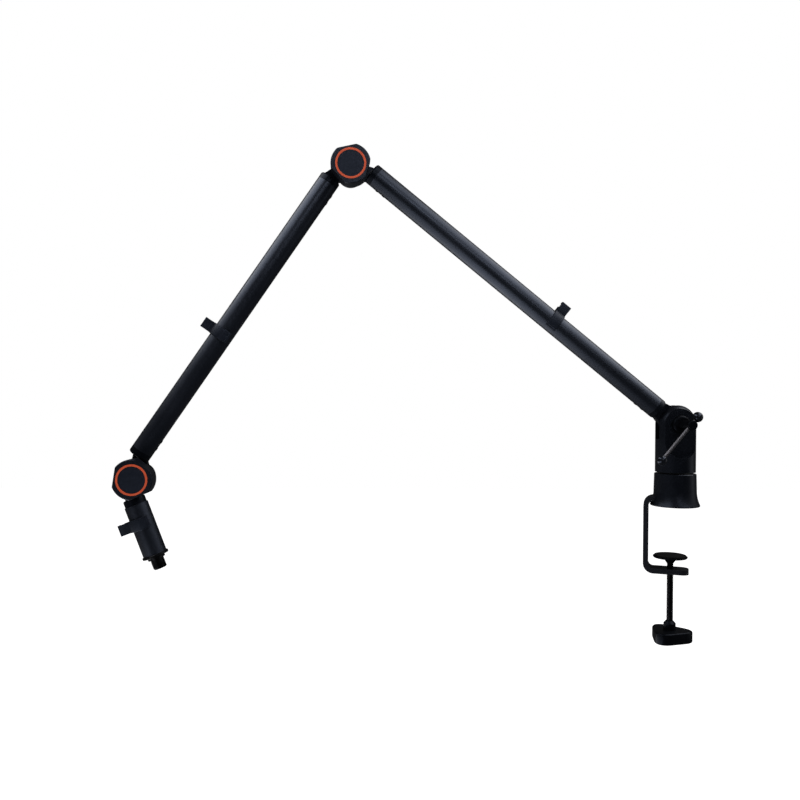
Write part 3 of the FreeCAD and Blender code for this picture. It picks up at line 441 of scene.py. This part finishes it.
knob_low, knob_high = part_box("clamp_knob")
grip = bmesh.new()
inner_reach = (LOBE_REACH - LOBE_RADIUS) / 2 + LOBE_RADIUS
triangle = bmesh.ops.create_circle(grip, cap_ends=True, segments=LOBES, radius=2 * inner_reach)["verts"]
first_lobe = math.atan2(triangle[0].co.y, triangle[0].co.x)
thickened(grip, (0.0, 0.0, GRIP_HEIGHT))
upright = [edge for edge in grip.edges if drop(edge) > GRIP_ROUND]
bmesh.ops.bevel(grip, geom=upright, offset=LOBE_RADIUS * math.sqrt(3), offset_type="OFFSET",
                segments=LOBE_STEPS, profile=0.5, affect="EDGES", material=-1)
rims = [edge for edge in grip.edges if drop(edge) < SAME_POINT]
bmesh.ops.bevel(grip, geom=rims, offset=GRIP_ROUND, segments=GRIP_STEPS, profile=0.5, affect="EDGES",
                material=-1)
bmesh.ops.rotate(grip, verts=grip.verts[:], matrix=Matrix.Rotation(LOBE_TURN - first_lobe, 3, "Z"))
hub_height = knob_high.z - knob_low.z
hub = bmesh.new()
bmesh.ops.create_circle(hub, cap_ends=True, segments=HUB_SIDES, radius=HUB_RADIUS)
bmesh.ops.translate(hub, verts=hub.verts[:], vec=(0.0, 0.0, GRIP_HEIGHT / 2))
carry_on(hub, open_edges(hub), [(HUB_RADIUS, hub_height - HUB_SLOPE, ROUND), (HUB_TIP, hub_height, ROUND)])
add_shape(grip, hub)
bmesh.ops.translate(grip, verts=grip.verts[:], vec=(screw_axis.x, screw_axis.y, knob_low.z))
finished("lobed_clamp_knob", grip, grip_plastic, "knob_plastic", "screw", "clamp_knob")


# T-handle: a black steel bolt with a collar and a cross-drilled head, which pulls the post's cheeks together,
# and a loose bright bar through the head with a glossy ball pressed on to each end.

dress(oxide_steel, "shoulder_t_bolt", "shoulder_collar")
bar_steel = lined(
    "bar_steel", deep=(0.085, 0.083, 0.092), pale=(0.125, 0.122, 0.134), smooth=0.38, rough=0.46,
    turn=(0, 50, 0), along=120.0, across=5000.0, depth=0.000004, Metallic=1.0)
dress(bar_steel, "tommy_bar")
ball_gloss = grained(
    "ball_gloss", deep=(0.0025, 0.0028, 0.0038), pale=(0.0045, 0.005, 0.0062), smooth=0.1, rough=0.18,
    cells=900.0, depth=0.000004, Specular_IOR_Level=0.25, Specular_Tint=COOL)
dress(ball_gloss, "tommy_balls")


# Arms: two long tubes and a short mic sleeve of aluminium, cut square and anodised satin black. Painted cast
# lugs plug into their ends, held by cap screws on the inside of the bend, and turn at the hinges on
# nylon washers and plated bolts.

dress(bearing_nylon, "shoulder_friction_washers", "elbow_friction_washer", "wrist_friction_washer")
dress(plated_steel, "elbow_bolt", "wrist_bolt")
lug_paint = grained(
    "lug_paint", deep=(0.0013, 0.0017, 0.0027), pale=(0.0021, 0.0026, 0.004), smooth=0.3, rough=0.38,
    cells=1600.0, depth=0.00001, edge=(0.006, 0.0068, 0.009), Specular_IOR_Level=0.1, Specular_Tint=COOL)
dress(lug_paint, "shoulder_lug", "lower_elbow_lug", "upper_elbow_lug", "upper_wrist_lug", "mic_lug")

ARM_TUBES = {"lower": "lower_tube", "upper": "upper_tube", "mic": "mic_sleeve"}
joints = {joint["name"]: joint for joint in frame["joints"]}
along = {arm: Vector(joints[f"{arm}_clip_slide"]["axis"]) for arm in ARM_TUBES}
for arm, tube in ARM_TUBES.items():
    angle = -math.degrees(math.atan2(along[arm].z, along[arm].x))
    anodised = lined(
        f"{tube}_anodised", deep=(0.0013, 0.0017, 0.0028), pale=(0.0021, 0.0026, 0.0042),
        smooth=0.36, rough=0.44, turn=(0, angle, 0), along=14.0, across=2600.0, depth=0.0000015,
        Specular_IOR_Level=0.42, Specular_Tint=COOL)
    dress(anodised, tube)

SCREW_SIDES = 24
SCREW_SHANK = 0.0015
SCREW_HEAD = 0.0025
SCREW_SOCKET = 0.00125
SHANK_LENGTH = 0.007
HEAD_HEIGHT = 0.0025
HEAD_BEVEL = 0.0004
SOCKET_FLOOR = 0.0009
HEXAGON = 6
TUBE_RADIUS = 0.0127
SEAT_DEPTH = 0.0022
HINGE_OFFSET = 0.0142
HINGE_SCREWS = (0.0385, 0.0485)
SHOULDER_SCREWS = (0.045, 0.055)
MIC_SCREWS = (0.0385, 0.082)


def outer_way(way):
    """The direction square to an arm, in the plane that it folds in, towards the outside of its bend."""
    return Vector((way.z, 0.0, -way.x))


def standing(place, way):
    """The shift and turn that stand a shape made about Z at a place, pointing the way given."""
    return Matrix.Translation(place) @ way.to_track_quat("Z", "Y").to_matrix().to_4x4()


def add_socket_screw(shape, seat, way):
    """A cap screw with a hexagon socket, standing in the seat given and pointing the way given."""
    screw = bmesh.new()
    end = bmesh.ops.create_circle(screw, cap_ends=True, segments=SCREW_SIDES, radius=SCREW_SHANK)["verts"]
    bmesh.ops.translate(screw, verts=end, vec=(0.0, 0.0, -SHANK_LENGTH))
    carry_on(screw, open_edges(screw), [
        (SCREW_SHANK, 0.0, ROUND), (SCREW_HEAD, 0.0, ROUND), (SCREW_HEAD, HEAD_HEIGHT - HEAD_BEVEL, ROUND),
        (SCREW_HEAD - HEAD_BEVEL, HEAD_HEIGHT, ROUND), (SCREW_SOCKET, HEAD_HEIGHT, HEXAGON),
        (SCREW_SOCKET, SOCKET_FLOOR, HEXAGON)])
    bmesh.ops.transform(screw, matrix=standing(seat, way), verts=screw.verts[:])
    add_shape(shape, screw)


pivot = {name: Vector(joints[name]["pos_m"]) for name in ("shoulder_tilt", "elbow_fold", "wrist_tilt")}
SCREWED_ENDS = {
    "lower": ("lower_arm", [("shoulder_tilt", 1, 0.0, SHOULDER_SCREWS),
                            ("elbow_fold", -1, HINGE_OFFSET, HINGE_SCREWS)]),
    "upper": ("upper_arm", [("elbow_fold", 1, HINGE_OFFSET, HINGE_SCREWS),
                            ("wrist_tilt", -1, HINGE_OFFSET, HINGE_SCREWS)]),
    "mic": ("mic_end", [("wrist_tilt", 1, HINGE_OFFSET, MIC_SCREWS)]),
}
for arm, (body, ends) in SCREWED_ENDS.items():
    outer = outer_way(along[arm])
    screws = bmesh.new()
    for joint, sense, offset, places in ends:
        for reach in places:
            rise = offset - TUBE_RADIUS + SEAT_DEPTH
            seat = pivot[joint] + along[arm] * sense * reach + outer * rise
            add_socket_screw(screws, seat, -outer)
    finished(f"{arm}_socket_screws", screws, black_steel, "black_steel", body, f"{arm}_plug_screws")


# Mic stud: a turned steel flange that closes the sleeve, its spigot plugged inside and held by the last
# screw, with the threaded nose that the microphone's holder screws on to.

MIC_PITCH = 0.000941
MIC_DEPTH = 0.00056
MIC_LEAD = 0.0009
NECK_RADIUS = 0.01
NECK_HEIGHT = 0.003
FLANGE_RADIUS = 0.0152
FLANGE_HEIGHT = 0.003
FLANGE_BEVEL = 0.0004
SPIGOT_RADIUS = 0.01115
SPIGOT_LENGTH = 0.016
MM_PER_METRE = 1000
mount = next(item for item in frame["record"]["mounts"] if item["name"] == "mic_thread")
nose_radius = mount["dims"]["r_mm"] / MM_PER_METRE
nose_length = mount["dims"]["length_mm"] / MM_PER_METRE
flange_front = -NECK_HEIGHT
flange_back = flange_front - FLANGE_HEIGHT
flange_rim = FLANGE_RADIUS - FLANGE_BEVEL
stud = bmesh.new()
base_rim, tip_rim = thread(stud, nose_radius, MIC_DEPTH, MIC_PITCH, 0.0, nose_length)
carry_on(stud, tip_rim, [(nose_radius - MIC_LEAD, nose_length + MIC_LEAD, ROUND)])
carry_on(stud, base_rim, [
    (NECK_RADIUS, 0.0, ROUND), (NECK_RADIUS, flange_front, ROUND), (flange_rim, flange_front, ROUND),
    (FLANGE_RADIUS, flange_front - FLANGE_BEVEL, ROUND), (FLANGE_RADIUS, flange_back + FLANGE_BEVEL, ROUND),
    (flange_rim, flange_back, ROUND), (SPIGOT_RADIUS, flange_back, ROUND),
    (SPIGOT_RADIUS, flange_back - SPIGOT_LENGTH, ROUND)])
stud_axis = Vector(mount["axis"])
stud_root = Vector(mount["pos_m"]) - stud_axis * nose_length / 2
bmesh.ops.transform(stud, matrix=standing(stud_root, stud_axis), verts=stud.verts[:])
finished("threaded_mic_stud", stud, black_steel, "black_steel", "mic_end", "mic_thread_stud")


# Knobs: round moulded grips with three flats that clamp the two hinges, each on a brass insert with a plated
# washer behind it. An orange ring and a plain cap are let into the face, and the bolt's rear end has a
# moulded cap.

insert_brass = lined(
    "insert_brass", deep=(0.5, 0.36, 0.14), pale=(0.66, 0.5, 0.22), smooth=0.25, rough=0.38,
    turn=(0, 0, 90), along=4000.0, across=80.0, depth=0.00001, Metallic=1.0)
dress(insert_brass, "elbow_knob_insert", "wrist_knob_insert")
dress(plated_steel, "elbow_knob_washer", "wrist_knob_washer")
knob_plastic = grained(
    "knob_plastic", deep=(0.0021, 0.0026, 0.0041), pale=(0.0034, 0.0041, 0.0062), smooth=0.34, rough=0.44,
    cells=2200.0, depth=0.00002, edge=(0.0065, 0.0073, 0.01), Specular_IOR_Level=0.26, Specular_Tint=COOL)
dress(knob_plastic, "elbow_knob", "wrist_knob", "elbow_rear_cap", "wrist_rear_cap")
ring_orange = grained(
    "ring_orange", deep=(0.37, 0.05, 0.018), pale=(0.44, 0.066, 0.024), smooth=0.4, rough=0.5,
    cells=1500.0, depth=0.00001, Specular_IOR_Level=0.2)
dress(ring_orange, "elbow_knob_ring", "wrist_knob_ring")
cap_plastic = grained(
    "cap_plastic", deep=(0.0036, 0.0047, 0.0082), pale=(0.0057, 0.0071, 0.0116), smooth=0.42, rough=0.52,
    cells=2600.0, depth=0.00002, Specular_IOR_Level=0.2, Specular_Tint=COOL)
dress(cap_plastic, "elbow_knob_cap", "wrist_knob_cap")


# Cable clips: moulded nylon bands that snap round the tubes, with rounded lips and a square hook for the
# cable, open at the back.

clip_nylon = grained(
    "clip_nylon", deep=(0.0042, 0.0053, 0.0084), pale=(0.0066, 0.0081, 0.0125), smooth=0.4, rough=0.5,
    cells=1900.0, depth=0.00002, Specular_IOR_Level=0.14, Specular_Tint=COOL)
BAND_GAP = 0.0003
BAND_WALL = 0.0022
BAND_ROUND = 0.0006
BAND_ENDS = (math.radians(-35), math.radians(215))
BAND_STEPS = 48
LIP_RADIUS = 0.0017
LIP_SIDES = 20
HOOK_WIDTH = 0.0128
HOOK_REACH = 0.0138
HOOK_HALF = 0.0058
HOOK_TIP = HOOK_HALF / 3
HOOK_WALL = 0.0022
HOOK_MOUTH = 0.0035
HOOK_ROUND = 0.0007
CORNER_STEPS = 3


def extent(node, way):
    """How far a node reaches along a direction, from its lowest to its highest point."""
    reached = [corner.co.dot(way) for corner in frame["nodes"][node].data.vertices]
    return min(reached), max(reached)


def rounded_face(shape, outline, radius):
    """A flat face through the points given, its corners rounded."""
    face = shape.faces.new([shape.verts.new(point) for point in outline])
    bmesh.ops.bevel(shape, geom=face.verts[:], offset=radius, segments=CORNER_STEPS, profile=0.5,
                    affect="VERTICES", material=-1)


for arm, tube in ARM_TUBES.items():
    outer = outer_way(along[arm])
    near, far = extent(f"{arm}_cable_clip", along[arm])
    under, over = extent(tube, outer)
    inside = (over - under) / 2 + BAND_GAP
    outside = inside + BAND_WALL
    half = (far - near) / 2
    clip = bmesh.new()
    rounded_face(clip, [(-half, inside, 0.0), (half, inside, 0.0), (half, outside, 0.0),
                        (-half, outside, 0.0)], BAND_ROUND)
    bmesh.ops.rotate(clip, verts=clip.verts[:], matrix=Matrix.Rotation(BAND_ENDS[0], 3, "X"))
    bmesh.ops.spin(clip, geom=clip.verts[:] + clip.edges[:] + clip.faces[:], axis=(1.0, 0.0, 0.0),
                   angle=BAND_ENDS[1] - BAND_ENDS[0], steps=BAND_STEPS)
    for end in BAND_ENDS:
        lip = Matrix.Rotation(end, 4, "X") @ Matrix.Translation((0.0, inside + LIP_RADIUS, 0.0))
        bmesh.ops.create_cone(clip, cap_ends=True, segments=LIP_SIDES, radius1=LIP_RADIUS, radius2=LIP_RADIUS,
                              depth=2 * half, matrix=lip @ Matrix.Rotation(math.pi / 2, 4, "Y"))
    hook_foot = inside + BAND_GAP
    hook_floor = outside + BAND_GAP
    crown = inside - BAND_GAP + HOOK_REACH
    ceiling = crown - HOOK_WALL
    mouth = ceiling - HOOK_MOUTH
    inner_half = HOOK_HALF - HOOK_WALL
    hook = bmesh.new()
    rounded_face(hook, [(-HOOK_WIDTH / 2, front, outward) for front, outward in (
        (HOOK_HALF, hook_foot), (HOOK_HALF, crown), (-HOOK_TIP, crown), (-HOOK_TIP, ceiling),
        (inner_half, ceiling), (inner_half, hook_floor), (-inner_half, hook_floor), (-inner_half, mouth),
        (-HOOK_HALF, mouth), (-HOOK_HALF, hook_foot))], HOOK_ROUND)
    thickened(hook, (HOOK_WIDTH, 0.0, 0.0))
    add_shape(clip, hook)
    centre = along[arm] * (near + far) / 2 + outer * (under + over) / 2
    clip_turn = Matrix((along[arm], (0.0, -1.0, 0.0), outer)).transposed().to_4x4()
    bmesh.ops.transform(clip, matrix=Matrix.Translation(centre) @ clip_turn, verts=clip.verts[:])
    finished(f"{arm}_moulded_clip", clip, clip_nylon, "clip_plastic", f"{arm}_clip", f"{arm}_cable_clip")


# Studio: a white floor a desk's height below the arm, a dim room and five soft boxes: two high, one low, a
# weak one at the right and a narrow one in front. The camera stands in front, at about the height of the
# shoulder.

ROOM_LIGHT = 0.25
REFLECTED = 0.05


def seen_as(tree, unseen, seen):
    """A value for the light that falls, and one for what the camera sees, which reflections show dimly."""
    path = tree.nodes.new("ShaderNodeLightPath")
    value = spread(tree, path.outputs["Is Glossy Ray"], 0.0, 1.0, unseen, seen * REFLECTED)
    for label in ("Is Camera Ray", "Is Transmission Ray"):
        direct = spread(tree, path.outputs[label], 0.0, 1.0, 0.0, seen)
        larger = tree.nodes.new("ShaderNodeMath")
        larger.operation = "MAXIMUM"
        tree.links.new(value, larger.inputs[0])
        tree.links.new(direct, larger.inputs[1])
        value = larger.outputs["Value"]
    return value


FLOOR_HEIGHT = -0.75
FLOOR_REACH = 7.0
FLOOR_WHITE = 0.86
FLOOR_GLOW = 0.92
floor_mesh = bpy.data.meshes.new("floor")
sheet = bmesh.new()
bmesh.ops.create_grid(sheet, x_segments=1, y_segments=1, size=FLOOR_REACH,
                      matrix=Matrix.Translation((0.0, 0.0, FLOOR_HEIGHT)))
sheet.to_mesh(floor_mesh)
sheet.free()
floor = bpy.data.objects.new("floor", floor_mesh)
bpy.context.scene.collection.objects.link(floor)
floor_paint = bpy.data.materials.new("floor_paint")
floor_paint.use_nodes = True
paint = floor_paint.node_tree
paint.nodes.remove(paint.nodes["Principled BSDF"])
matt = paint.nodes.new("ShaderNodeBsdfDiffuse")
paint.links.new(seen_as(paint, FLOOR_WHITE, FLOOR_WHITE), matt.inputs["Color"])
glow = paint.nodes.new("ShaderNodeEmission")
paint.links.new(seen_as(paint, 0.0, FLOOR_GLOW), glow.inputs["Strength"])
both = paint.nodes.new("ShaderNodeAddShader")
paint.links.new(matt.outputs["BSDF"], both.inputs[0])
paint.links.new(glow.outputs["Emission"], both.inputs[1])
paint.links.new(both.outputs["Shader"], paint.nodes["Material Output"].inputs["Surface"])
floor_mesh.materials.append(floor_paint)


def soft_lamp(name, place, target, depth, height, power, beam=180):
    """A soft box, its first size running from front to back, with its beam's width in degrees."""
    lamp = bpy.data.lights.new(name, "AREA")
    lamp.shape = "RECTANGLE"
    lamp.size = depth
    lamp.size_y = height
    lamp.energy = power
    lamp.spread = math.radians(beam)
    holder = bpy.data.objects.new(name, lamp)
    bpy.context.scene.collection.objects.link(holder)
    holder.location = place
    holder.rotation_mode = "QUATERNION"
    holder.rotation_quaternion = (Vector(target) - Vector(place)).to_track_quat("-Z", "Y")


ARM_MIDDLE = (-0.2, 0.0, 0.25)
LEFT_OF_ELBOW = (-0.45, 0.0, 0.33)
SHOULDER = (0.0, 0.0, 0.1)
RIGHT_OF_ELBOW = (-0.25, 0.0, 0.38)
soft_lamp("left_high", (-1.35, -0.25, 1.25), LEFT_OF_ELBOW, depth=2.0, height=0.7, power=22.0)
soft_lamp("right_high", (0.71, -0.25, 1.19), ARM_MIDDLE, depth=1.9, height=1.0, power=24.0)
soft_lamp("left_low", (-0.85, 0.0, -0.62), ARM_MIDDLE, depth=2.2, height=0.6, power=14.0)
soft_lamp("right_side", (1.3, -0.2, 0.1), SHOULDER, depth=0.7, height=1.0, power=1.5)
soft_lamp("front_high", (0.0, -1.5, 0.85), RIGHT_OF_ELBOW, depth=0.6, height=0.6, power=0.42, beam=44)

world = bpy.data.worlds.new("room")
bpy.context.scene.world = world
world.use_nodes = True
room = world.node_tree
back = room.nodes["Background"]
back.inputs["Color"].default_value = (1.0, 1.0, 1.0, 1.0)
room.links.new(seen_as(room, ROOM_LIGHT, 1.0), back.inputs["Strength"])

CAMERA_PLACE = (-0.4045, -0.9533, 0.1243)
CAMERA_TURN = (90.12, -0.55, -3.97)
lens = bpy.data.cameras.new("camera")
lens.lens = 36.0
lens.sensor_width = 36.0
lens.clip_end = 50.0
camera = bpy.data.objects.new("camera", lens)
bpy.context.scene.collection.objects.link(camera)
camera.location = CAMERA_PLACE
camera.rotation_euler = [math.radians(angle) for angle in CAMERA_TURN]
bpy.context.scene.camera = camera
bpy.context.scene.view_settings.view_transform = "Standard"
